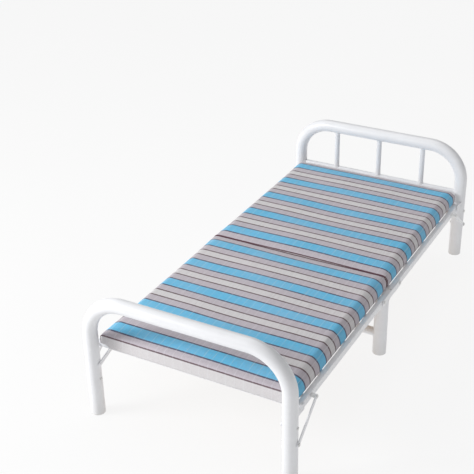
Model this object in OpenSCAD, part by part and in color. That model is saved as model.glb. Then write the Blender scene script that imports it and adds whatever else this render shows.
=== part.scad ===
// Rollaway bed: a steel bed whose halves fold together about a centre leg,
// with a tubular arch at each end that swings under the frame on two links.
// X runs across the bed, Y from the foot (-) to the head (+), Z up from the floor.

/* [Overall size] */
// Distance between the two arches, at their tube axes
arch_spacing = 1900; // [1880:1:1910]
// Distance between the legs of one arch, at their tube axes
leg_spacing = 870; // [868:1:876]
// Height of the foot arch at its tube axis
foot_arch_h = 550; // [520:5:600]
// Height of the head arch at its tube axis
head_arch_h = 570; // [540:5:620]

/* [Arches] */
// Diameter of the arch and leg tubes
tube_d = 60; // [58:0.5:60]
// Wall of the arch and leg tubes
tube_wall = 1.5; // [1.2:0.1:2.5]
// Bend radius of an arch at its tube axis
bend_r = 165; // [120:5:200]
// Diameter of the three head bars and of the bar that joins their feet
bar_d = 25; // [19:1:28]
// Spacing of the head bars
bar_pitch = 230; // [200:5:260]
// Height of the bar that joins the feet of the head bars
head_crossbar_z = 342; // [335:1:360]

/* [Side rails] */
// Width of a side rail
rail_w = 20; // [18:1:22]
// Height of a side rail
rail_h = 30; // [28:1:32]
// Wall of the rails and slats
rail_wall = 1.5; // [1.2:0.1:2]
// Height of the rail axis, and of every pivot on the rails
rail_z = 290; // [286:1:294]
// Distance of the outer rail face from the middle of the bed
rail_face = 448; // [447:1:449]
// Distance of the rail's outer end from the fold
rail_end = 872; // [860:1:874]
// Side of the square cross tubes
slat_w = 20; // [18:1:22]
// Number of slats under each board
slat_count = 3; // [2:1:4]

/* [Mattress] */
// Thickness of each mattress half above the rails, with its board
pad_t = 62; // [50:1:70]
// Width of the mattress
pad_w = 866; // [840:2:870]
// Distance of the mattress end from the fold
pad_end = 905; // [890:1:908]
// Radius of the long top edges of the mattress
pad_edge_r = 28; // [8:1:32]
// Thickness of the board inside each mattress half
board_t = 8; // [6:1:12]

/* [Linkage] */
// Distance of each fold pivot from the fold
fold_pivot = 90; // [88:1:95]
// Distance of the stay pivot from the fold
stay_pivot = 800; // [796:1:816]
// Height of the stay bolt on an arch leg
stay_bolt_z = 172; // [168:1:175]
// Height of the link bolt on an arch leg
link_bolt_z = 246; // [242:1:248]
// Thickness of the stays, links, cheeks and fold plates
plate_t = 4; // [3:0.5:4]
// Width of the stays and links
stay_w = 18; // [14:1:18]
// Radius of the bolt shanks
bolt_r = 4; // [3:0.5:4]

/* [Centre leg] */
// Height of the crossbar between the centre legs
centre_bar_z = 100; // [80:5:140]
// Diameter of the crossbar between the centre legs
centre_bar_d = 38; // [25:1:42]
// Distance of each centre leg axis from the middle of the bed
centre_leg_x = 424; // [423:1:425]

/* [Hidden] */
$fn = 96;
SOFT_FN = 32;
EPS = 0.3;
RUN = 0.05;

// Colours
STEEL = "whitesmoke";
ZINC = "silver";
PLASTIC = "white";
CLOTH = "lightsteelblue";
WOOD = "burlywood";

// Levels and distances that follow from the driving sizes
tube_r = tube_d / 2;
arch_y = arch_spacing / 2;
leg_x = leg_spacing / 2;
rail_top = rail_z + rail_h / 2;
rail_low = rail_z - rail_h / 2;
rail_in = rail_face - rail_w;
rail_gap = 6;
pad_gap = 2;
cover_t = 12;
cover_drop = 13;
fold_rail_y = 12;
plug_flange = 2;
plug_depth = 14;
hole_r = bolt_r + RUN;
cap_t = 6;
// The tubes of a folded arch lie this high, just under the rails
folded_z = rail_low - tube_r - 2;
// Layers across the bed: cheeks beside the rail, stays outside the leg, links inside it
cheek_x = rail_face + 1;
stay_x = leg_x + tube_r + 1;
link_x = leg_x - tube_r - 1;
// Where the stay bolt comes to rest under the rail, and the link pivot that this gives
stay_len = sqrt(pow(arch_y - stay_pivot, 2) + pow(rail_z - stay_bolt_z, 2));
folded_bolt = stay_pivot - sqrt(pow(stay_len, 2) - pow(rail_z - folded_z, 2));
folded_link = folded_bolt + link_bolt_z - stay_bolt_z;
link_pivot = (arch_y * arch_y - folded_link * folded_link + pow(rail_z - link_bolt_z, 2)
  - pow(rail_z - folded_z, 2)) / (2 * (arch_y - folded_link));
// The centre leg hangs beside its pivot, so that it folds flat under the rail
centre_leg_y = fold_pivot - (rail_z - folded_z);
leg_top = rail_low - 4;

module head_side() { children(); }
module foot_side() { mirror([0, 1, 0]) children(); }
module right_side() { children(); }
module left_side() { mirror([1, 0, 0]) children(); }
module both_sides() { right_side() children(); left_side() children(); }

// A cylinder along X between two distances from the middle
module rod_x(r, x0, x1, y, z) {
  translate([x0, y, z]) rotate([0, 90, 0]) cylinder(r = r, h = x1 - x0);
}

// A hollow square tube along Y or X, given by its box
module tube_y(x0, x1, y0, y1, z0, z1) {
  difference() {
    translate([x0, y0, z0]) cube([x1 - x0, y1 - y0, z1 - z0]);
    translate([x0 + rail_wall, y0 - 1, z0 + rail_wall])
      cube([x1 - x0 - 2 * rail_wall, y1 - y0 + 2, z1 - z0 - 2 * rail_wall]);
  }
}

// A square tube across the bed, flush with the tops of the rails
module cross_tube(y, half) {
  difference() {
    translate([-half, y, rail_top - slat_w]) cube([2 * half, slat_w, slat_w]);
    translate([-half - 1, y + rail_wall, rail_top - slat_w + rail_wall])
      cube([2 * half + 2, slat_w - 2 * rail_wall, slat_w - 2 * rail_wall]);
  }
}

// ---- One half of the bed, drawn at the head side ----

module rail(inner_fold_hole) {
  color(STEEL) difference() {
    tube_y(rail_in, rail_face, rail_gap, rail_end, rail_low, rail_top);
    rod_x(hole_r, rail_face - rail_w / 2, rail_face + 1, fold_pivot, rail_z);
    rod_x(hole_r, rail_face - rail_w / 2, rail_face + 1, stay_pivot, rail_z);
    rod_x(hole_r, rail_in - 1, rail_face - rail_w / 2, link_pivot, rail_z);
    if (inner_fold_hole) rod_x(hole_r, rail_in - 1, rail_face - rail_w / 2, fold_pivot, rail_z);
  }
}

// The end tube is welded across the rail ends, which leaves room under it for the folded legs
module end_rail() { color(STEEL) cross_tube(rail_end, rail_face - plug_flange); }

module fold_rail() { color(STEEL) cross_tube(fold_rail_y, rail_in); }

module slats() {
  color(STEEL) for (i = [1 : slat_count])
    cross_tube(fold_rail_y + (rail_end - fold_rail_y) * i / (slat_count + 1), rail_in);
}

module board() {
  margin = 12;
  color(WOOD) translate([-pad_w / 2 + margin, pad_gap + margin, rail_top])
    cube([pad_w - 2 * margin, pad_end - pad_gap - 2 * margin, board_t]);
}

// A mattress half. Its cover drops past the end tube between the legs of the arch.
module pad() {
  margin = 12;
  length = pad_end - pad_gap;
  drop_half_w = leg_x - tube_r - 9;
  color(CLOTH) difference() {
    union() {
      translate([0, pad_end, rail_top]) rotate([90, 0, 0]) linear_extrude(length) hull() {
        translate([-pad_w / 2, 0]) square([pad_w, 10]);
        for (side = [-1, 1]) translate([side * (pad_w / 2 - pad_edge_r), pad_t - pad_edge_r])
          circle(r = pad_edge_r, $fn = SOFT_FN);
      }
      translate([-drop_half_w, pad_end - cover_t, rail_top - cover_drop])
        cube([2 * drop_half_w, cover_t, cover_drop + 1]);
    }
    translate([-pad_w / 2 + margin, pad_gap + margin, rail_top - 1])
      cube([pad_w - 2 * margin, length - 2 * margin, board_t + 1]);
  }
}

// A flanged plug that closes an open end of a rail; the flange of the outer plug
// stops under the end tube
module rail_plug(y_flange, y_plug, flange_h) {
  translate([rail_in, y_flange, rail_low]) cube([rail_w, plug_flange, flange_h]);
  translate([rail_in + rail_wall, y_plug, rail_low + rail_wall])
    cube([rail_w - 2 * rail_wall, plug_depth, rail_h - 2 * rail_wall]);
}

// A flanged plug in the open end of the end tube
module end_rail_plug() {
  inner = slat_w - 2 * rail_wall;
  translate([rail_face - plug_flange, rail_end, rail_top - slat_w]) cube([plug_flange, slat_w, slat_w]);
  translate([rail_face - plug_flange - plug_depth, rail_end + rail_wall, rail_top - slat_w + rail_wall])
    cube([plug_depth, inner, inner]);
}

module rail_plugs() {
  color(PLASTIC) both_sides() {
    rail_plug(rail_end, rail_end - plug_depth, rail_h - slat_w);
    rail_plug(rail_gap - plug_flange, rail_gap, rail_h);
    end_rail_plug();
  }
}

// A domed bolt head whose flat side lies at x and whose dome points to dir
module dome_head(x, y, z, dir, r = 8, h = 4.5) {
  translate([x, y, z]) rotate([0, 90 * dir, 0]) rotate_extrude()
    polygon([[0, 0], [r, 0], [r, h * 0.35], [r * 0.8, h * 0.75], [r * 0.45, h], [0, h]]);
}

module nut(x, y, z, dir) {
  translate([x, y, z]) rotate([0, 90 * dir, 0]) cylinder(r = 6.5, h = 5, $fn = 6);
}

module pivot_bolts() {
  inner_wall = rail_in + rail_wall;
  outer_wall = rail_face - rail_wall;
  color(ZINC) both_sides() {
    union() {
      rod_x(bolt_r, outer_wall - 5, stay_x + plate_t + EPS, stay_pivot, rail_z);
      dome_head(stay_x + plate_t + EPS, stay_pivot, rail_z, 1);
      nut(outer_wall, stay_pivot, rail_z, -1);
    }
    union() {
      rod_x(bolt_r, link_x - plate_t - EPS, inner_wall + 5, link_pivot, rail_z);
      dome_head(link_x - plate_t - EPS, link_pivot, rail_z, -1);
      nut(inner_wall, link_pivot, rail_z, 1);
    }
  }
}

module sleeve(x0, x1, y) {
  difference() {
    rod_x(8.5, x0, x1, y, rail_z);
    rod_x(hole_r, x0 - 1, x1 + 1, y, rail_z);
  }
}

module sleeves() {
  color(ZINC) both_sides() {
    sleeve(rail_face, stay_x - EPS, stay_pivot);
    sleeve(link_x + EPS, rail_in, link_pivot);
  }
}

// The fold bolts; on the foot half they run on through the ears of the centre leg
module fold_bolts(x_in) {
  color(ZINC) both_sides() union() {
    rod_x(bolt_r, x_in, cheek_x + plate_t + EPS, fold_pivot, rail_z);
    dome_head(cheek_x + plate_t + EPS, fold_pivot, rail_z, 1);
    if (x_in < rail_in) dome_head(x_in, fold_pivot, rail_z, -1);
    if (x_in > rail_in) nut(rail_face - rail_wall, fold_pivot, rail_z, -1);
  }
}

// ---- Fold plates and the centre leg ----

module fold_plate() {
  r = rail_h / 2;
  tab = 40;
  color(STEEL) difference() {
    translate([cheek_x, 0, 0]) rotate([90, 0, 90]) linear_extrude(plate_t) union() {
      hull() for (y = [-fold_pivot, fold_pivot]) translate([y, rail_z]) circle(r = r, $fn = SOFT_FN);
      translate([-centre_leg_y - tab / 2, leg_top]) square([tab, r]);
    }
    for (y = [-fold_pivot, fold_pivot]) rod_x(hole_r, cheek_x - 1, cheek_x + plate_t + 1, y, rail_z);
  }
}

module centre_leg() {
  color(STEEL) translate([centre_leg_x, -centre_leg_y, cap_t]) difference() {
    cylinder(r = tube_r, h = leg_top - 3 - cap_t);
    translate([0, 0, -1]) cylinder(r = tube_r - tube_wall, h = leg_top + 2);
  }
}

module centre_leg_tops() {
  plug = 16;
  color(PLASTIC) both_sides() translate([centre_leg_x, -centre_leg_y, leg_top - 3]) union() {
    cylinder(r = tube_r, h = 3);
    translate([0, 0, -plug]) cylinder(r = tube_r - tube_wall, h = plug);
  }
}

module centre_crossbar() {
  color(STEEL) difference() {
    rod_x(centre_bar_d / 2, -centre_leg_x, centre_leg_x, -centre_leg_y, centre_bar_z);
    rod_x(centre_bar_d / 2 - tube_wall, -centre_leg_x - 1, centre_leg_x + 1, -centre_leg_y, centre_bar_z);
    both_sides() translate([centre_leg_x, -centre_leg_y, 0]) cylinder(r = tube_r, h = leg_top);
  }
}

// Ears on the inner side of the rails, standing on the centre legs
module centre_leg_ears() {
  ear_r = 12;
  foot = 36;
  ear_x = rail_in - 0.5 - plate_t;
  color(STEEL) both_sides() difference() {
    translate([ear_x, 0, 0]) rotate([90, 0, 90]) linear_extrude(plate_t) hull() {
      translate([-fold_pivot, rail_z]) circle(r = ear_r, $fn = SOFT_FN);
      translate([-centre_leg_y - foot / 2, leg_top]) square([foot, 5]);
    }
    rod_x(hole_r, ear_x - 1, rail_in, -fold_pivot, rail_z);
  }
}

// A foot cap: a plug in the tube and a rounded disc on the floor
module foot_cap(x, y) {
  plug = 24;
  round_r = 3;
  color(PLASTIC) translate([x, y, 0]) rotate_extrude() polygon(concat(
    [[0, 0]],
    [for (a = [0 : 15 : 90]) [tube_r - round_r + round_r * sin(a), round_r - round_r * cos(a)]],
    [[tube_r, cap_t], [tube_r - tube_wall, cap_t], [tube_r - tube_wall, cap_t + plug], [0, cap_t + plug]]));
}

// ---- One end frame, drawn at the head side ----

// The solid arch of radius r: two legs, two bends and the top
module arch_solid(r, top_z, foot_z) {
  bend_z = top_z - bend_r;
  bend_x = leg_x - bend_r;
  union() {
    both_sides() {
      translate([leg_x, arch_y, foot_z]) cylinder(r = r, h = bend_z - foot_z);
      translate([bend_x, arch_y, bend_z]) rotate([90, 0, 0]) rotate_extrude(angle = 90)
        translate([bend_r, 0]) circle(r = r);
    }
    rod_x(r, -bend_x, bend_x, arch_y, top_z);
  }
}

module arch(top_z) {
  color(STEEL) difference() {
    arch_solid(tube_r, top_z, cap_t);
    arch_solid(tube_r - tube_wall, top_z, cap_t - 1);
    both_sides() for (z = [stay_bolt_z, link_bolt_z])
      rod_x(hole_r, leg_x - tube_r - 2, leg_x + tube_r + 2, arch_y, z);
  }
}

// Cheek plates welded to the legs, which lie beside the rail ends
module cheeks() {
  reach = 80;
  color(STEEL) both_sides() difference() {
    translate([cheek_x, arch_y - reach, rail_low]) cube([plate_t, reach, rail_h]);
    translate([leg_x, arch_y, 0]) cylinder(r = tube_r, h = head_arch_h - bend_r);
    translate([cheek_x - 1, arch_y - reach, rail_low]) rotate([45, 0, 0])
      cube([plate_t + 2, 14, 14], center = true);
  }
}

module arch_caps() { both_sides() foot_cap(leg_x, arch_y); }

module arch_bolts() {
  leg_in = leg_x - tube_r;
  leg_out = leg_x + tube_r;
  color(ZINC) both_sides() {
    union() {
      rod_x(bolt_r, leg_in - 5, stay_x + plate_t + EPS, arch_y, stay_bolt_z);
      dome_head(stay_x + plate_t + EPS, arch_y, stay_bolt_z, 1);
      nut(leg_in, arch_y, stay_bolt_z, -1);
    }
    union() {
      rod_x(bolt_r, leg_in, leg_out, arch_y, link_bolt_z);
      dome_head(leg_out, arch_y, link_bolt_z, 1, 7, 4);
    }
  }
}

module flat_bar(x, y0, z0, y1, z1) {
  translate([x, 0, 0]) rotate([90, 0, 90]) linear_extrude(plate_t) hull() {
    translate([y0, z0]) circle(d = stay_w, $fn = SOFT_FN);
    translate([y1, z1]) circle(d = stay_w, $fn = SOFT_FN);
  }
}

module stay() {
  color(STEEL) difference() {
    flat_bar(stay_x, stay_pivot, rail_z, arch_y, stay_bolt_z);
    rod_x(hole_r, stay_x - 1, stay_x + plate_t + 1, stay_pivot, rail_z);
    rod_x(hole_r, stay_x - 1, stay_x + plate_t + 1, arch_y, stay_bolt_z);
  }
}

// The link ends in its own rivet, which stops short of the arch leg
module link() {
  rivet_r = 6;
  color(STEEL) union() {
    difference() {
      flat_bar(link_x - plate_t, link_pivot, rail_z, arch_y, link_bolt_z);
      rod_x(hole_r, link_x - plate_t - 1, link_x + 1, link_pivot, rail_z);
    }
    dome_head(link_x - plate_t, arch_y, link_bolt_z, -1, rivet_r, 3);
  }
}

module head_bar(x) {
  color(STEEL) difference() {
    translate([x, arch_y, head_crossbar_z]) cylinder(d = bar_d, h = head_arch_h - head_crossbar_z);
    translate([x, arch_y, 0]) cylinder(d = bar_d - 2 * tube_wall, h = head_arch_h);
    rod_x(tube_r, x - bar_d, x + bar_d, arch_y, head_arch_h);
    rod_x(bar_d / 2, x - bar_d, x + bar_d, arch_y, head_crossbar_z);
  }
}

module head_crossbar() {
  color(STEEL) difference() {
    rod_x(bar_d / 2, -leg_x, leg_x, arch_y, head_crossbar_z);
    rod_x(bar_d / 2 - tube_wall, -leg_x - 1, leg_x + 1, arch_y, head_crossbar_z);
    both_sides() translate([leg_x, arch_y, 0]) cylinder(r = tube_r, h = head_arch_h);
  }
}

fold_bolt_foot = rail_in - 0.5 - plate_t - EPS;
fold_bolt_head = rail_face - rail_wall - 5;

foot_side() left_side() rail(true);  // foot_rail_left
foot_side() rail(true);  // foot_rail_right
foot_side() end_rail();  // foot_end_rail
foot_side() fold_rail();  // foot_fold_rail
foot_side() slats();  // foot_slats
foot_side() board();  // foot_board
foot_side() pad();  // foot_pad
foot_side() rail_plugs();  // foot_rail_plugs
foot_side() pivot_bolts();  // foot_pivot_bolts
foot_side() sleeves();  // foot_sleeves
foot_side() fold_bolts(fold_bolt_foot);  // foot_fold_bolts
left_side() rail(false);  // head_rail_left
rail(false);  // head_rail_right
end_rail();  // head_end_rail
fold_rail();  // head_fold_rail
slats();  // head_slats
board();  // head_board
pad();  // head_pad
rail_plugs();  // head_rail_plugs
pivot_bolts();  // head_pivot_bolts
sleeves();  // head_sleeves
fold_bolts(fold_bolt_head);  // head_fold_bolts
left_side() fold_plate();  // fold_plate_left
fold_plate();  // fold_plate_right
left_side() centre_leg();  // centre_leg_left
centre_leg();  // centre_leg_right
centre_crossbar();
centre_leg_ears();
both_sides() foot_cap(centre_leg_x, -centre_leg_y);  // centre_leg_caps
centre_leg_tops();
foot_side() left_side() stay();  // foot_stay_left
foot_side() stay();  // foot_stay_right
foot_side() left_side() link();  // foot_link_left
foot_side() link();  // foot_link_right
foot_side() arch(foot_arch_h);  // foot_arch
foot_side() cheeks();  // foot_cheeks
foot_side() arch_caps();  // foot_arch_caps
foot_side() arch_bolts();  // foot_arch_bolts
left_side() stay();  // head_stay_left
stay();  // head_stay_right
left_side() link();  // head_link_left
link();  // head_link_right
arch(head_arch_h);  // head_arch
head_bar(-bar_pitch);  // head_bar_left
head_bar(0);  // head_bar_centre
head_bar(bar_pitch);  // head_bar_right
head_crossbar();
cheeks();  // head_cheeks
arch_caps();  // head_arch_caps
arch_bolts();  // head_arch_bolts
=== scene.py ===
"""Looks of the rollaway bed: powder-coated steel, two striped mattress halves, welds and trim.

Everything is in metres, in the CAD frame: X across, Y from foot (-) to head (+), Z up.
"""

import math

import bmesh
import bpy
from mathutils import Matrix, Vector


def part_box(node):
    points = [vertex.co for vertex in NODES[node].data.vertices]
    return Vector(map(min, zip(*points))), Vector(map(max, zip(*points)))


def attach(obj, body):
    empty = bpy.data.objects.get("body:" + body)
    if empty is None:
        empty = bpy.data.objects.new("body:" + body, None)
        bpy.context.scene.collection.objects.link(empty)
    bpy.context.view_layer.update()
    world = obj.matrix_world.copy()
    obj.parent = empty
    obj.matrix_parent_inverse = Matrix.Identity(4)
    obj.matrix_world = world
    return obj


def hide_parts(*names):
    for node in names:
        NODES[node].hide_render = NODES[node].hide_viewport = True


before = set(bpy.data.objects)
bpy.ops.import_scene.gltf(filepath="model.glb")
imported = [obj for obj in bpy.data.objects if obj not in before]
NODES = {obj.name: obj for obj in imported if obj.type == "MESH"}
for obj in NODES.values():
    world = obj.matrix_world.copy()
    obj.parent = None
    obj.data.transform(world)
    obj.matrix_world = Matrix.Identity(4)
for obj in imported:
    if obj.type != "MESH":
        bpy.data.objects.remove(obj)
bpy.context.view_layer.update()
SCENE = bpy.context.scene

# ---- Sizes read from the frame ----

PAD_LOW, PAD_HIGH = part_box("head_pad")
PAD_TOP = PAD_HIGH.z
PAD_BASE = PAD_LOW.z
PAD_HALF_W = PAD_HIGH.x
PAD_END = PAD_HIGH.y
PAD_INNER = PAD_LOW.y
RAIL_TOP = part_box("head_slats")[1].z
DROP_HALF_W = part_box("head_link_right")[0].x - 0.001
COVER_T = 0.011
ARCH_LOW, ARCH_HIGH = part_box("head_arch")
TUBE_R = (ARCH_HIGH.y - ARCH_LOW.y) / 2
ARCH_Y = (ARCH_HIGH.y + ARCH_LOW.y) / 2
LEG_X = ARCH_HIGH.x - TUBE_R


# ---- Camera ----

IMAGE_WIDTH = 474
SENSOR_WIDTH = 36
FOCAL_PIXELS = 1032.03
CAM_AZ, CAM_EL, CAM_ROLL = 29.4, 28.94, -1.35
CAM_TARGET = Vector((-0.35231, 0.09904, 0.3))
CAM_DISTANCE = 4.83356
CAM_SHIFT = (-0.003, 0.006)
FAR_CLIP = 1000


def make_camera():
    """The photograph's viewpoint: azimuth, elevation and roll about a target near the bed."""
    azimuth, elevation, roll = (math.radians(a) for a in (CAM_AZ, CAM_EL, CAM_ROLL))
    back = Vector((math.sin(azimuth) * math.cos(elevation),
                   -math.cos(azimuth) * math.cos(elevation),
                   math.sin(elevation)))
    right = Vector((math.cos(azimuth), math.sin(azimuth), 0))
    up = back.cross(right)
    turned_right = right * math.cos(roll) + up * math.sin(roll)
    turned_up = up * math.cos(roll) - right * math.sin(roll)
    data = bpy.data.cameras.new("camera")
    data.sensor_width = SENSOR_WIDTH
    data.lens = FOCAL_PIXELS / IMAGE_WIDTH * SENSOR_WIDTH
    data.shift_x, data.shift_y = CAM_SHIFT
    data.clip_end = FAR_CLIP
    camera = bpy.data.objects.new("camera", data)
    rotation = Matrix((turned_right, turned_up, back)).transposed().to_4x4()
    camera.matrix_world = Matrix.Translation(CAM_TARGET + back * CAM_DISTANCE) @ rotation
    SCENE.collection.objects.link(camera)
    SCENE.camera = camera


make_camera()


# ---- Node helpers ----

class Graph:
    """Short calls for building one material's nodes."""

    def __init__(self, name):
        self.material = bpy.data.materials.new(name)
        self.material.use_nodes = True
        self.nodes = self.material.node_tree.nodes
        self.links = self.material.node_tree.links
        self.nodes.clear()
        self.shader = self.add("ShaderNodeBsdfPrincipled")
        output = self.add("ShaderNodeOutputMaterial")
        self.link(self.shader.outputs["BSDF"], output.inputs["Surface"])

    def add(self, kind, **settings):
        node = self.nodes.new(kind)
        for key, value in settings.items():
            setattr(node, key, value)
        return node

    def link(self, a, b):
        self.links.new(a, b)

    def put(self, socket, value):
        """Links a socket, or sets a plain value."""
        if hasattr(value, "links"):
            self.link(value, socket)
        else:
            socket.default_value = value

    def math(self, operation, a, b=0.0, c=0.0):
        node = self.add("ShaderNodeMath", operation=operation)
        for socket, value in zip(node.inputs, (a, b, c)):
            self.put(socket, value)
        return node.outputs[0]

    def place(self):
        """The point on the piece at rest, in metres, and its three parts."""
        out = self.add("ShaderNodeTexCoord").outputs["Object"]
        parts = self.add("ShaderNodeSeparateXYZ")
        self.link(out, parts.inputs[0])
        return out, parts.outputs

    def noise(self, where, scale, detail=3.0, roughness=0.55, stretch=None):
        if stretch:
            mapping = self.add("ShaderNodeMapping")
            mapping.inputs["Scale"].default_value = stretch
            self.link(where, mapping.inputs["Vector"])
            where = mapping.outputs[0]
        node = self.add("ShaderNodeTexNoise")
        self.link(where, node.inputs["Vector"])
        node.inputs["Scale"].default_value = scale
        node.inputs["Detail"].default_value = detail
        node.inputs["Roughness"].default_value = roughness
        return node.outputs["Fac"]

    def ramp(self, value, stops, interpolation="LINEAR"):
        node = self.add("ShaderNodeValToRGB")
        node.color_ramp.interpolation = interpolation
        elements = node.color_ramp.elements
        while len(elements) > 1:
            elements.remove(elements[-1])
        elements[0].position = stops[0][0]
        elements[0].color = (*stops[0][1], 1)
        for position, colour in stops[1:]:
            elements.new(position).color = (*colour, 1)
        self.link(value, node.inputs[0])
        return node.outputs["Color"]

    def mix(self, factor, a, b, blend="MIX"):
        node = self.add("ShaderNodeMix", data_type="RGBA", blend_type=blend)
        self.put(node.inputs["Factor"], factor)
        for name, value in (("A", a), ("B", b)):
            socket = [s for s in node.inputs if s.name == name and s.type == "RGBA"][0]
            if isinstance(value, tuple):
                socket.default_value = (*value, 1)
            else:
                self.link(value, socket)
        return [s for s in node.outputs if s.type == "RGBA"][0]

    def bump(self, height, distance, strength=1.0, below=None):
        node = self.add("ShaderNodeBump")
        node.inputs["Distance"].default_value = distance
        node.inputs["Strength"].default_value = strength
        self.link(height, node.inputs["Height"])
        if below is not None:
            self.link(below, node.inputs["Normal"])
        return node.outputs[0]

    def finish(self, colour=None, roughness=None, normal=None, **plain):
        if colour is not None:
            self.link(colour, self.shader.inputs["Base Color"])
        if roughness is not None:
            self.put(self.shader.inputs["Roughness"], roughness)
        if normal is not None:
            self.link(normal, self.shader.inputs["Normal"])
        for key, value in plain.items():
            self.shader.inputs[key.replace("_", " ")].default_value = value
        return self.material


def srgb(r, g, b):
    """An 8-bit screen colour as linear values."""
    return tuple(((v / 255 + 0.055) / 1.055) ** 2.4 for v in (r, g, b))


def grey(value):
    return (value, value, value)


# ---- Materials ----

def powder_coat():
    """White gloss powder coat: orange peel, faint handling marks and a little settled dust."""
    g = Graph("powder_coat")
    where, xyz = g.place()
    peel = g.noise(where, 900, 2.0)
    marks = g.noise(where, 14, 6.0, 0.7, stretch=(1, 1, 2.5))
    low = g.math("MULTIPLY", g.math("SUBTRACT", 0.09, xyz[2]), 6.0)
    dust = g.math("MULTIPLY", g.math("MAXIMUM", low, 0.0), marks)
    clean = g.ramp(marks, [(0.3, srgb(232, 233, 236)), (0.7, srgb(237, 238, 241))])
    colour = g.mix(g.math("MINIMUM", dust, 0.35), clean, srgb(206, 203, 198))
    rough = g.ramp(marks, [(0.3, grey(0.3)), (0.7, grey(0.36))])
    normal = g.bump(peel, 0.00003, 0.35)
    return g.finish(colour, rough, normal, Coat_Weight=0.25, Coat_Roughness=0.2)


def painted_bolt():
    """White enamel on bolt heads, worn a little towards bare zinc."""
    g = Graph("painted_bolt")
    where, _ = g.place()
    wear = g.noise(where, 260, 5.0, 0.7)
    enamel, worn = srgb(232, 232, 231), srgb(150, 150, 152)
    colour = g.ramp(wear, [(0.0, srgb(238, 238, 238)), (0.66, enamel), (0.74, worn)])
    metal = g.ramp(wear, [(0.66, grey(0)), (0.74, grey(0.9))])
    rough = g.ramp(wear, [(0.3, grey(0.28)), (0.8, grey(0.45))])
    g.link(metal, g.shader.inputs["Metallic"])
    return g.finish(colour, rough, g.bump(wear, 0.0002, 0.5))


def moulded_plastic():
    """White moulded plastic with a fine spark texture and scuffs low down."""
    g = Graph("moulded_plastic")
    where, xyz = g.place()
    grain = g.noise(where, 1400, 2.0)
    scuff = g.noise(where, 90, 6.0, 0.75, stretch=(1, 1, 0.4))
    low = g.math("MAXIMUM", g.math("MULTIPLY", g.math("SUBTRACT", 0.012, xyz[2]), 60.0), 0.0)
    colour = g.mix(g.math("MULTIPLY", low, scuff), srgb(236, 236, 235), srgb(168, 165, 160))
    rough = g.ramp(scuff, [(0.3, grey(0.42)), (0.7, grey(0.6))])
    return g.finish(colour, rough, g.bump(grain, 0.00012, 0.6))


def plywood():
    """Raw plywood face: long grain across the bed, and plies on the edge."""
    g = Graph("plywood")
    where, xyz = g.place()
    grain = g.noise(where, 18, 8.0, 0.65, stretch=(0.35, 6, 1))
    fibres = g.noise(where, 160, 4.0, 0.6, stretch=(0.12, 3, 1))
    late, middle, early = srgb(166, 130, 88), srgb(196, 162, 116), srgb(212, 182, 138)
    colour = g.ramp(grain, [(0.3, late), (0.5, middle), (0.72, early)])
    plies = g.math("FRACT", g.math("MULTIPLY", xyz[2], 420.0))
    dark = g.math("MULTIPLY", g.math("LESS_THAN", plies, 0.3), 0.25)
    colour = g.mix(dark, colour, srgb(120, 86, 54))
    return g.finish(colour, 0.72, g.bump(fibres, 0.0004, 0.5))


STRIPE_PITCH = 0.1906
FIRST_BLUE = {"foot": 0.080, "head": 0.0785}
BLUE_SHARE = 0.315
LINE_SHARE = 0.038
BLUE = srgb(80, 190, 234)
GREY_MAUVE = srgb(190, 183, 191)
BEIGE = srgb(215, 213, 214)
NAVY = srgb(30, 48, 88)
THREADS_PER_M = 26
THREAD_SHARE = 0.045
WEAVE_FREQUENCY = 5200.0
WAVER = 0.0022
SOFT_EDGE = 0.004
WRAP_LIMIT = 0.046
END_ZONE = 0.04
END_FACING = 0.55
MAROON = srgb(74, 42, 52)


def stripe_stops():
    """One repeat from the middle of the blue: blue, mauve, beige, mauve, with dark lines between."""
    half = LINE_SHARE / 2
    rest = (1 - BLUE_SHARE) / 3
    edge = BLUE_SHARE / 2
    stops = [(0.0, BLUE)]
    for start, line, band in ((edge, NAVY, GREY_MAUVE), (edge + rest, MAROON, BEIGE),
                              (edge + 2 * rest, MAROON, GREY_MAUVE), (edge + 3 * rest, NAVY, BLUE)):
        stops += [(start - half, line), (start + half, band)]
    return stops


def cloth_run(g, where, xyz, along):
    """Distance along the cloth: out along the bed, then down the end faces or the fold faces."""
    drop = g.math("MAXIMUM", g.math("SUBTRACT", PAD_TOP - SOFT_EDGE, xyz[2]), 0.0)
    drop = g.math("MINIMUM", drop, WRAP_LIMIT)
    facing = g.add("ShaderNodeSeparateXYZ")
    g.link(g.add("ShaderNodeTexCoord").outputs["Normal"], facing.inputs[0])
    end_on = g.math("GREATER_THAN", g.math("ABSOLUTE", facing.outputs[1]), END_FACING)
    at_end = g.math("MULTIPLY", end_on, g.math("GREATER_THAN", along, PAD_END - END_ZONE))
    at_fold = g.math("MULTIPLY", end_on, g.math("LESS_THAN", along, PAD_INNER + END_ZONE))
    wrap = g.math("MULTIPLY", drop, g.math("SUBTRACT", at_end, at_fold))
    waver = g.math("MULTIPLY", g.math("SUBTRACT", g.noise(where, 4, 2.0), 0.5), WAVER)
    return g.math("ADD", g.math("ADD", along, wrap), waver)


def tint(g, colour, mask, low, high, strength, tone):
    """Fades a tone in where a noise mask rises from low to high."""
    return g.mix(g.ramp(mask, [(low, grey(0)), (high, grey(strength))]), colour, tone)


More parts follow.
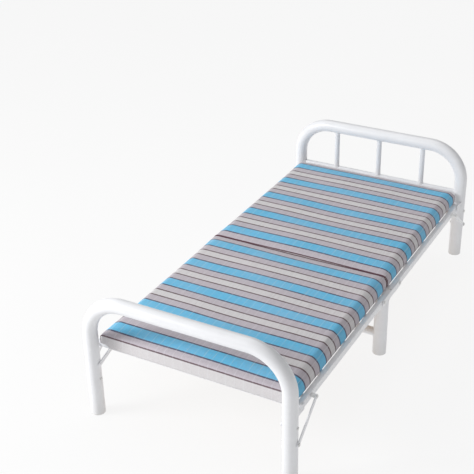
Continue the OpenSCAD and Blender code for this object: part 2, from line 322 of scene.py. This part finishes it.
def striped_cloth():
    """Printed plain-weave cover. The stripes run across the bed and wrap down its end faces."""
    g = Graph("striped_cloth")
    where, xyz = g.place()
    along = g.math("ABSOLUTE", xyz[1])
    run = cloth_run(g, where, xyz, along)
    is_head = g.math("GREATER_THAN", xyz[1], 0.0)
    change = FIRST_BLUE["head"] - FIRST_BLUE["foot"]
    start = g.math("ADD", g.math("MULTIPLY", is_head, change), FIRST_BLUE["foot"])
    turns = g.math("ADD", g.math("DIVIDE", g.math("SUBTRACT", run, start), STRIPE_PITCH), 10.0)
    colour = g.ramp(g.math("FRACT", turns), stripe_stops(), "CONSTANT")
    # Slubs: short thicker threads along and across, and a slow cast from the print rollers
    slub_x = g.noise(where, 60, 3.0, 0.6, stretch=(0.25, 7, 7))
    slub_y = g.noise(where, 60, 3.0, 0.6, stretch=(7, 0.25, 7))
    colour = tint(g, colour, slub_x, 0.42, 0.75, 0.16, srgb(232, 226, 230))
    colour = tint(g, colour, slub_y, 0.42, 0.75, 0.26, srgb(112, 104, 110))
    colour = tint(g, colour, g.noise(where, 5, 2.0), 0.35, 0.7, 0.1, srgb(214, 196, 206))
    # Single pale warp threads run the length of the cloth
    across = g.math("FRACT", g.math("ADD", g.math("MULTIPLY", xyz[0], THREADS_PER_M), 50.3))
    on_thread = g.math("LESS_THAN", across, THREAD_SHARE)
    thinning = g.ramp(slub_y, [(0.35, grey(0.1)), (0.6, grey(0.5))])
    colour = g.mix(g.math("MULTIPLY", on_thread, thinning), colour, srgb(226, 228, 232))
    warp = g.math("SINE", g.math("MULTIPLY", xyz[0], WEAVE_FREQUENCY))
    weft = g.math("SINE", g.math("MULTIPLY", run, WEAVE_FREQUENCY))
    normal = g.bump(g.math("ADD", slub_x, slub_y), 0.0005, 0.35)
    normal = g.bump(g.math("MULTIPLY", warp, weft), 0.00012, 0.5, normal)
    rough = g.ramp(slub_x, [(0.3, grey(0.72)), (0.7, grey(0.88))])
    return g.finish(colour, rough, normal, Sheen_Weight=0.25, Sheen_Roughness=0.5)


TWIST_FREQUENCY = 2400.0


def seam_cord():
    """Dark maroon twisted sewing cord, with a painted highlight on the crowns of the twist."""
    g = Graph("seam_cord")
    where, xyz = g.place()
    slant = g.math("ADD", g.math("ADD", xyz[0], xyz[1]), xyz[2])
    twist = g.math("SINE", g.math("MULTIPLY", slant, TWIST_FREQUENCY))
    # Painted highlight: the cord is lighter where the twist's ridges rise, in step with its bump
    light = g.math("MULTIPLY", g.math("ADD", twist, 1.0), 0.2)
    colour = g.mix(light, srgb(88, 52, 64), srgb(140, 104, 114))
    return g.finish(colour, 0.8, g.bump(twist, 0.0002, 0.6))


POWDER = powder_coat()
BOLT = painted_bolt()
PLASTIC = moulded_plastic()
PLY = plywood()
CLOTH = striped_cloth()
CORD = seam_cord()


def dress_cad_nodes():
    """Gives each CAD node its finish."""
    for name, node in NODES.items():
        if name.endswith("_board"):
            finish = PLY
        elif "bolts" in name or "sleeves" in name:
            finish = BOLT
        elif any(word in name for word in ("caps", "plugs", "tops")):
            finish = PLASTIC
        else:
            finish = POWDER
        node.data.materials.clear()
        node.data.materials.append(finish)


dress_cad_nodes()


# ---- Mesh helpers ----

def size_of(name):
    low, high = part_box(name)
    return high - low


def middle_of(name):
    low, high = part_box(name)
    return (low + high) / 2


def new_object(name, bm, material, smooth=True):
    mesh = bpy.data.meshes.new(name)
    bm.to_mesh(mesh)
    bm.free()
    for polygon in mesh.polygons:
        polygon.use_smooth = smooth
    mesh.materials.append(material)
    obj = bpy.data.objects.new(name, mesh)
    SCENE.collection.objects.link(obj)
    return obj


def ring_frame(path, i, closed):
    """Tangent at a path point."""
    last = len(path) - 1
    before = path[i - 1] if i > 0 else (path[-1] if closed else path[0])
    after = path[i + 1] if i < last else (path[0] if closed else path[last])
    return (after - before).normalized()


def sweep(bm, path, radius, sides=8, closed=False):
    """Adds a tube along a path; radius is a number or a function of the point's index."""
    rings = []
    tangent = ring_frame(path, 0, closed)
    normal = tangent.orthogonal().normalized()
    for i, point in enumerate(path):
        tangent = ring_frame(path, i, closed)
        normal = (normal - tangent * normal.dot(tangent)).normalized()
        side = tangent.cross(normal)
        r = radius(i) if callable(radius) else radius
        angles = [2 * math.pi * k / sides for k in range(sides)]
        spokes = [normal * math.cos(a) + side * math.sin(a) for a in angles]
        rings.append([bm.verts.new(point + spoke * r) for spoke in spokes])
    for low, high in zip(rings, rings[1:]):
        for k in range(sides):
            bm.faces.new((low[k], low[(k + 1) % sides], high[(k + 1) % sides], high[k]))
    if closed:
        first, last = rings[0], rings[-1]
        shift = min(range(sides), key=lambda k: (first[k].co - last[0].co).length)
        for k in range(sides):
            bm.faces.new((last[k], last[(k + 1) % sides],
                          first[(k + 1 + shift) % sides], first[(k + shift) % sides]))
    else:
        bm.faces.new(list(reversed(rings[0])))
        bm.faces.new(rings[-1])


# ---- Mattress halves ----

SHRINK = 0.004
END_GAP = 0.0008
END_BAND = 0.012
HOLLOW_DEPTH = 0.0022
HOLLOW_FADE = 0.02
SWELL_CAP = 0.007
SWELL_FRAMES = 20
AIR_PRESSURE = 4
VOXEL = 0.0085
EDGE_R = 0.03


def pad_shell(name, sign):
    """The closed starting shape: a slab with well rounded long edges and softer end edges."""
    bm = bmesh.new()
    x_half = PAD_HALF_W - SHRINK
    y0, y1 = PAD_INNER + END_GAP, PAD_END - END_GAP
    z0, z1 = RAIL_TOP + 0.0005, PAD_TOP - SHRINK
    steps = 8
    outline = [(-x_half, z0)]
    for k in range(steps + 1):
        a = math.pi / 2 * k / steps
        outline.append((-x_half + EDGE_R * (1 - math.cos(a)), z1 - EDGE_R * (1 - math.sin(a))))
    outline += [(-x, z) for x, z in reversed(outline)]
    end_r = 0.006
    slices = [(y0, end_r), (y0 + end_r * 0.3, end_r * 0.35), (y0 + end_r, 0.0)]
    slices += [(y1 - end_r, 0.0), (y1 - end_r * 0.3, end_r * 0.35), (y1, end_r)]
    rings = []
    for y, inset in slices:
        ring = []
        for x, z in outline:
            x_in = math.copysign(max(abs(x) - inset, 0), x)
            z_in = z if z <= z0 else z - inset * (z - z0) / (z1 - z0)
            ring.append(bm.verts.new((x_in, sign * y, z_in)))
        rings.append(ring)
    n = len(outline)
    for a, b in zip(rings, rings[1:]):
        for k in range(n):
            bm.faces.new((a[k], a[(k + 1) % n], b[(k + 1) % n], b[k]))
    bm.faces.new(rings[0])
    bm.faces.new(rings[-1])
    drop_low, drop_high = PAD_BASE + 0.001, RAIL_TOP + 0.02
    middle = Vector((0, sign * (y1 - COVER_T / 2), (drop_low + drop_high) / 2))
    size = Matrix.Diagonal((2 * DROP_HALF_W - 0.006, COVER_T, drop_high - drop_low, 1))
    bmesh.ops.create_cube(bm, size=1, matrix=Matrix.Translation(middle) @ size)
    bmesh.ops.recalc_face_normals(bm, faces=bm.faces)
    return new_object(name, bm, CLOTH)


def apply_modifiers(obj):
    """Bakes the modifier stack into the mesh."""
    evaluated = obj.evaluated_get(bpy.context.evaluated_depsgraph_get())
    mesh = bpy.data.meshes.new_from_object(evaluated)
    obj.modifiers.clear()
    old = obj.data
    obj.data = mesh
    bpy.data.meshes.remove(old)


def remesh(obj, voxel):
    modifier = obj.modifiers.new("remesh", "REMESH")
    modifier.mode = "VOXEL"
    modifier.voxel_size = voxel
    modifier.use_smooth_shade = True
    apply_modifiers(obj)


def swell(obj):
    """Cloth simulation: air pressure plumps the cover while its base and two ends hold."""
    rest = [v.co.copy() for v in obj.data.vertices]
    pins = obj.vertex_groups.new(name="base")
    for i, co in enumerate(rest):
        inner, outer = abs(co.y) - PAD_INNER, PAD_END - abs(co.y)
        if co.z < RAIL_TOP + 0.006 or min(inner, outer) < END_BAND:
            pins.add([i], 1.0, "REPLACE")
    cloth = obj.modifiers.new("cloth", "CLOTH")
    settings = cloth.settings
    settings.vertex_group_mass = "base"
    settings.use_pressure = True
    settings.uniform_pressure_force = AIR_PRESSURE
    settings.effector_weights.gravity = 0
    settings.quality = 4
    settings.tension_stiffness = 20
    settings.bending_stiffness = 2
    cloth.point_cache.frame_start = 1
    cloth.point_cache.frame_end = SWELL_FRAMES
    for number in range(1, SWELL_FRAMES + 1):
        SCENE.frame_set(number)
    apply_modifiers(obj)
    for vertex, start in zip(obj.data.vertices, rest):
        move = vertex.co - start
        if move.length > SWELL_CAP:
            vertex.co = start + move * (SWELL_CAP / move.length)
    SCENE.frame_set(1)


def keep_in_box(obj, sign):
    """Holds the cover inside the room that its CAD solid has, and gives it a slept-on softness."""
    for vertex in obj.data.vertices:
        co = vertex.co
        span = (abs(co.y) - PAD_INNER) / (PAD_END - PAD_INNER)
        if co.z > PAD_TOP - HOLLOW_FADE:
            hollow = HOLLOW_DEPTH * math.sin(co.x * 9 + 1.3) * math.sin(span * 8.5 + sign)
            co.z += hollow * min(1, (co.z - PAD_TOP + HOLLOW_FADE) / HOLLOW_FADE)
        co.x = max(-PAD_HALF_W, min(PAD_HALF_W, co.x))
        co.y = sign * max(PAD_INNER, min(PAD_END, abs(co.y)))
        co.z = max(PAD_BASE + 0.0004, min(PAD_TOP + 0.004, co.z))
        if abs(co.y) < PAD_END - COVER_T - 0.0015 or abs(co.x) > DROP_HALF_W:
            co.z = max(RAIL_TOP + 0.0004, co.z)


def make_pad(end, sign):
    pad = pad_shell(f"{end}_mattress", sign)
    remesh(pad, VOXEL)
    swell(pad)
    smooth = pad.modifiers.new("smooth", "SMOOTH")
    smooth.factor = 0.5
    smooth.iterations = 2
    apply_modifiers(pad)
    keep_in_box(pad, sign)
    for polygon in pad.data.polygons:
        polygon.use_smooth = True
    pad.data.materials.clear()
    pad.data.materials.append(CLOTH)
    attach(pad, f"{end}_half")
    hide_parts(f"{end}_pad")
    return pad


PADS = {"foot": make_pad("foot", -1), "head": make_pad("head", 1)}


# ---- Seams of the covers ----

SEAM_R = 0.0011
PIPING_R = 0.0015


def edge_x(z):
    """Half width of the cover's outline at a height: straight sides, then the rounded top edge."""
    above = z - (PAD_TOP - EDGE_R)
    if above <= 0:
        return PAD_HALF_W
    return PAD_HALF_W - EDGE_R + math.sqrt(max(EDGE_R ** 2 - above ** 2, 0))


def on_cover(pad, point, lift):
    """The nearest point of the finished cover, lifted along its normal."""
    _, place, normal, _ = pad.closest_point_on_mesh(point)
    return place + normal * lift


def make_seams(end, sign):
    """A sewn cord down each outer corner, and maroon piping round the edge at the fold."""
    pad = PADS[end]
    low = RAIL_TOP + 0.004
    high = PAD_TOP - EDGE_R * 0.45
    steps = 16
    heights = [low + (high - low) * k / steps for k in range(steps + 1)]
    bm = bmesh.new()
    for side in (-1, 1):
        corner = [Vector((side * edge_x(z), sign * PAD_END, z)) for z in heights]
        sweep(bm, [on_cover(pad, point, SEAM_R * 0.3) for point in corner], SEAM_R, 6)
    fold_y = sign * (PAD_INNER + PIPING_R + 0.0006)
    turn = [PAD_TOP - EDGE_R * (1 - math.sin(math.pi / 2 * k / 10)) for k in range(11)]
    rise = heights[:8] + turn
    rim = [Vector((-edge_x(z), fold_y, z)) for z in rise]
    rim += [Vector((x / 40, fold_y, PAD_TOP)) for x in range(-15, 16)]
    rim += [Vector((edge_x(z), fold_y, z)) for z in reversed(rise)]
    path = []
    for point in rim:
        place = on_cover(pad, point, PIPING_R * 0.4)
        path.append(Vector((place.x, fold_y, min(place.z, PAD_TOP + 0.002))))
    sweep(bm, path, PIPING_R, 8)
    seams = new_object(f"{end}_cover_seams", bm, CORD)
    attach(seams, f"{end}_half")


for end_name, end_sign in (("foot", -1), ("head", 1)):
    make_seams(end_name, end_sign)


# ---- Weld beads ----

BEAD_R = 0.0022
BEAD_SIDES = 6
CHEEK_T = 0.004


def ripple(i):
    """Radius along a bead: the overlapping scales of a weld."""
    return BEAD_R * (1 + 0.22 * math.cos(i * 2.1))


def straight_bead(bm, low, high, count, scale):
    """A bead from one point to another, thinner than the full radius by a scale."""
    path = [low.lerp(high, k / count) for k in range(count + 1)]
    sweep(bm, path, lambda i: ripple(i) * scale, BEAD_SIDES)


def saddle(r_bar, r_tube, centre, bar_axis, tube_axis, out):
    """Closed path where a bar of radius r_bar meets a tube of radius r_tube at right angles."""
    across = bar_axis.cross(tube_axis).normalized()
    path = []
    count = 40
    for k in range(count):
        a = 2 * math.pi * k / count
        u, v = math.cos(a) * r_bar, math.sin(a) * r_bar
        path.append(centre + tube_axis * u + across * v + out * math.sqrt(r_tube ** 2 - v ** 2))
    return path


def make_head_welds():
    """Beads where the head bars meet the arch and the crossbar, and the crossbar meets the legs."""
    bm = bmesh.new()
    x_axis, z_axis = Vector((1, 0, 0)), Vector((0, 0, 1))
    bar_r = size_of("head_bar_centre").x / 2
    cross_z = middle_of("head_crossbar").z
    top_z = ARCH_HIGH.z - TUBE_R
    for name in ("head_bar_left", "head_bar_centre", "head_bar_right"):
        x = middle_of(name).x
        high = saddle(bar_r, TUBE_R, Vector((x, ARCH_Y, top_z)), z_axis, x_axis, -z_axis)
        sweep(bm, high, ripple, BEAD_SIDES, True)
        # Just under the full radius, so that the square root stays real on equal tubes
        low = saddle(bar_r * 0.999, bar_r, Vector((x, ARCH_Y, cross_z)), z_axis, x_axis, z_axis)
        sweep(bm, low, ripple, BEAD_SIDES, True)
    for side in (-1, 1):
        leg = Vector((side * LEG_X, ARCH_Y, cross_z))
        path = saddle(bar_r, TUBE_R, leg, x_axis, z_axis, Vector((-side, 0, 0)))
        sweep(bm, path, ripple, BEAD_SIDES, True)
    return bm


def make_cheek_welds(end, sign):
    """Beads down both faces of each cheek plate where it meets the leg."""
    bm = bmesh.new()
    low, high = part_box(f"{end}_cheeks")
    for side in (-1, 1):
        for x in (high.x, high.x - CHEEK_T):
            y = sign * (ARCH_Y - math.sqrt(TUBE_R ** 2 - (x - LEG_X) ** 2))
            foot, top = Vector((side * x, y, low.z)), Vector((side * x, y, high.z))
            straight_bead(bm, foot, top, 14, 0.7)
    return bm


def make_centre_welds():
    """Beads where the low crossbar meets the two centre legs."""
    bm = bmesh.new()
    bar_r = size_of("centre_crossbar").z / 2
    middle = middle_of("centre_crossbar")
    leg_x = middle_of("centre_leg_right").x
    for side in (-1, 1):
        leg = Vector((side * leg_x, middle.y, middle.z))
        inward = Vector((-side, 0, 0))
        path = saddle(bar_r, TUBE_R, leg, Vector((1, 0, 0)), Vector((0, 0, 1)), inward)
        sweep(bm, path, ripple, BEAD_SIDES, True)
    return bm


def edge_positions(end, rail_in):
    """Where the cross tubes' own faces stand along the bed, found on the CAD mesh at the rail."""
    levels = sorted({round(v.co.y, 4) for v in NODES[f"{end}_slats"].data.vertices
                     if abs(abs(v.co.x) - rail_in) < 1e-4})
    faces = [levels[0]]
    for before, after in zip(levels, levels[1:]):
        if after - before > 0.01 or after == levels[-1]:
            faces.append(after)
        if after - before > 0.03:
            faces.append(before)
    return sorted(set(faces))


def make_slat_welds(end):
    """Short beads where the cross tubes meet the inner faces of the rails."""
    bm = bmesh.new()
    rail_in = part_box(f"{end}_rail_right")[0].x
    low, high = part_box(f"{end}_slats")
    for y in edge_positions(end, rail_in):
        for side in (-1, 1):
            x = side * (rail_in - 0.0006)
            foot, top = Vector((x, y, low.z + 0.001)), Vector((x, y, high.z - 0.002))
            straight_bead(bm, foot, top, 10, 0.8)
    return bm


def add_welds(name, bm, body):
    welds = new_object(name, bm, POWDER)
    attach(welds, body)


add_welds("head_arch_welds", make_head_welds(), "head_end_frame")
add_welds("foot_cheek_welds", make_cheek_welds("foot", -1), "foot_end_frame")
add_welds("head_cheek_welds", make_cheek_welds("head", 1), "head_end_frame")
add_welds("centre_frame_welds", make_centre_welds(), "centre_frame")
add_welds("foot_slat_welds", make_slat_welds("foot"), "foot_half")
add_welds("head_slat_welds", make_slat_welds("head"), "head_half")


# ---- Stage ----

FLOOR_GLOW = 0.86
FLOOR_HALF = 400
BRIGHT_SIDE = (-0.6, -0.5, 0.62)
WORLD_LEVEL = 0.34
WORLD_SWING = 0.32


def make_stage():
    bm = bmesh.new()
    bmesh.ops.create_grid(bm, x_segments=1, y_segments=1, size=FLOOR_HALF)
    g = Graph("floor")
    where, _ = g.place()
    tone = g.ramp(g.noise(where, 0.6, 2.0), [(0.3, grey(0.085)), (0.7, grey(0.09))])
    glow = {"Emission_Color": (1, 1, 1, 1), "Emission_Strength": FLOOR_GLOW}
    finish = g.finish(tone, 0.9, **glow)
    floor = new_object("floor", bm, finish, smooth=False)
    floor.location.z = -0.0005


def area_light(name, place, target, size, watts):
    data = bpy.data.lights.new(name, "AREA")
    data.shape = "DISK"
    data.size = size
    data.energy = watts
    light = bpy.data.objects.new(name, data)
    light.location = place
    light.rotation_euler = (Vector(target) - Vector(place)).to_track_quat("-Z", "Y").to_euler()
    SCENE.collection.objects.link(light)


def make_world():
    """White surround: brightest over the left front, dimmer towards the right."""
    world = bpy.data.worlds.new("studio")
    world.use_nodes = True
    nodes, links = world.node_tree.nodes, world.node_tree.links
    direction = nodes.new("ShaderNodeTexCoord").outputs["Generated"]
    facing = nodes.new("ShaderNodeVectorMath")
    facing.operation = "DOT_PRODUCT"
    facing.inputs[1].default_value = BRIGHT_SIDE
    level = nodes.new("ShaderNodeMath")
    level.operation = "MULTIPLY_ADD"
    level.inputs[1].default_value = WORLD_SWING
    level.inputs[2].default_value = WORLD_LEVEL
    background = nodes["Background"]
    background.inputs["Color"].default_value = (1, 1, 1, 1)
    links.new(direction, facing.inputs[0])
    links.new(facing.outputs["Value"], level.inputs[0])
    links.new(level.outputs[0], background.inputs["Strength"])
    SCENE.world = world


make_stage()
make_world()
area_light("key", (-3.2, -3.0, 2.4), (0, 0, 0.3), 1.8, 145)
area_light("top", (-0.4, 1.2, 4.2), (0, 0, 0.3), 3.0, 25)
SCENE.view_settings.view_transform = "Standard"
